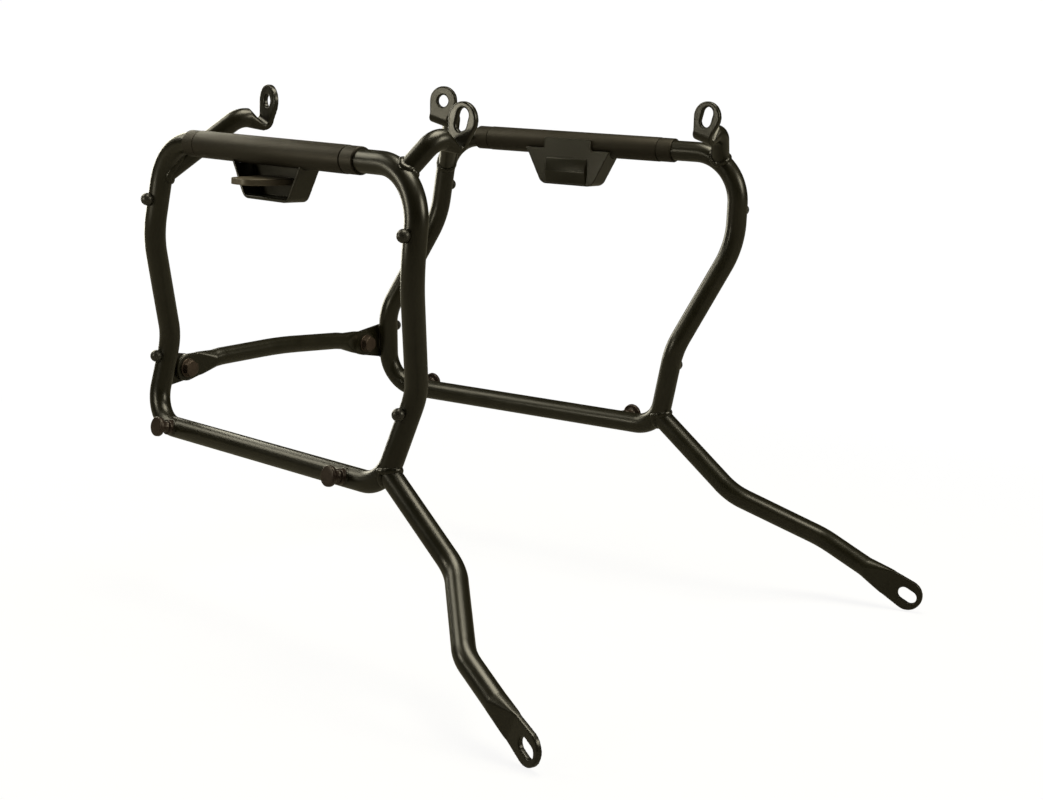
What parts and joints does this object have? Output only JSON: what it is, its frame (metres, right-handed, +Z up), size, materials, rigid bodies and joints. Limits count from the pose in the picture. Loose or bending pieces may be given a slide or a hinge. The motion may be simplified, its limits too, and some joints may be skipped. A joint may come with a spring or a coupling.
{
  "type": "pannier frame",
  "caption": "Pair of bent tube side carriers for motorcycle panniers, with flattened bolt-on arms, latch brackets and a bolted rear cross tube.",
  "frame": {"origin": "centre of the box round the whole assembly, on the middle plane of the motorcycle", "axes": "+X towards the front of the motorcycle, +Y to its left, +Z up"},
  "size_m": [0.5584, 0.5366, 0.44],
  "materials": {
    "powder_coat": "black powder coat, satin, fine texture",
    "sleeve_plastic": "black moulded plastic, matt",
    "fastener_steel": "blackened steel",
    "bumper_rubber": "black rubber"
  },
  "bodies": {
    "root": {"right_hoop": "powder_coat", "left_hoop": "powder_coat", "right_sleeve": "sleeve_plastic", "left_sleeve": "sleeve_plastic", "right_rear_arm": "powder_coat", "left_rear_arm": "powder_coat", "right_front_arm": "powder_coat", "left_front_arm": "powder_coat", "right_lower_arm": "powder_coat", "left_lower_arm": "powder_coat", "right_latch_bracket": "powder_coat", "left_latch_bracket": "powder_coat", "right_latch_tongue": "powder_coat", "left_latch_tongue": "powder_coat", "right_crossbar_lug": "powder_coat", "left_crossbar_lug": "powder_coat", "right_rear_pin": "powder_coat", "left_rear_pin": "powder_coat", "right_front_pin": "powder_coat", "left_front_pin": "powder_coat", "right_upper_rear_bumper": "bumper_rubber", "left_upper_rear_bumper": "bumper_rubber", "right_upper_front_bumper": "bumper_rubber", "left_upper_front_bumper": "bumper_rubber", "right_lower_rear_bumper": "bumper_rubber", "left_lower_rear_bumper": "bumper_rubber", "right_lower_front_bumper": "bumper_rubber", "left_lower_front_bumper": "bumper_rubber", "right_crossbar_bolt": "fastener_steel", "left_crossbar_bolt": "fastener_steel", "right_crossbar_washer": "fastener_steel", "left_crossbar_washer": "fastener_steel", "right_crossbar_nut": "fastener_steel", "left_crossbar_nut": "fastener_steel", "crossbar": "powder_coat"}
  },
  "joints": []
}
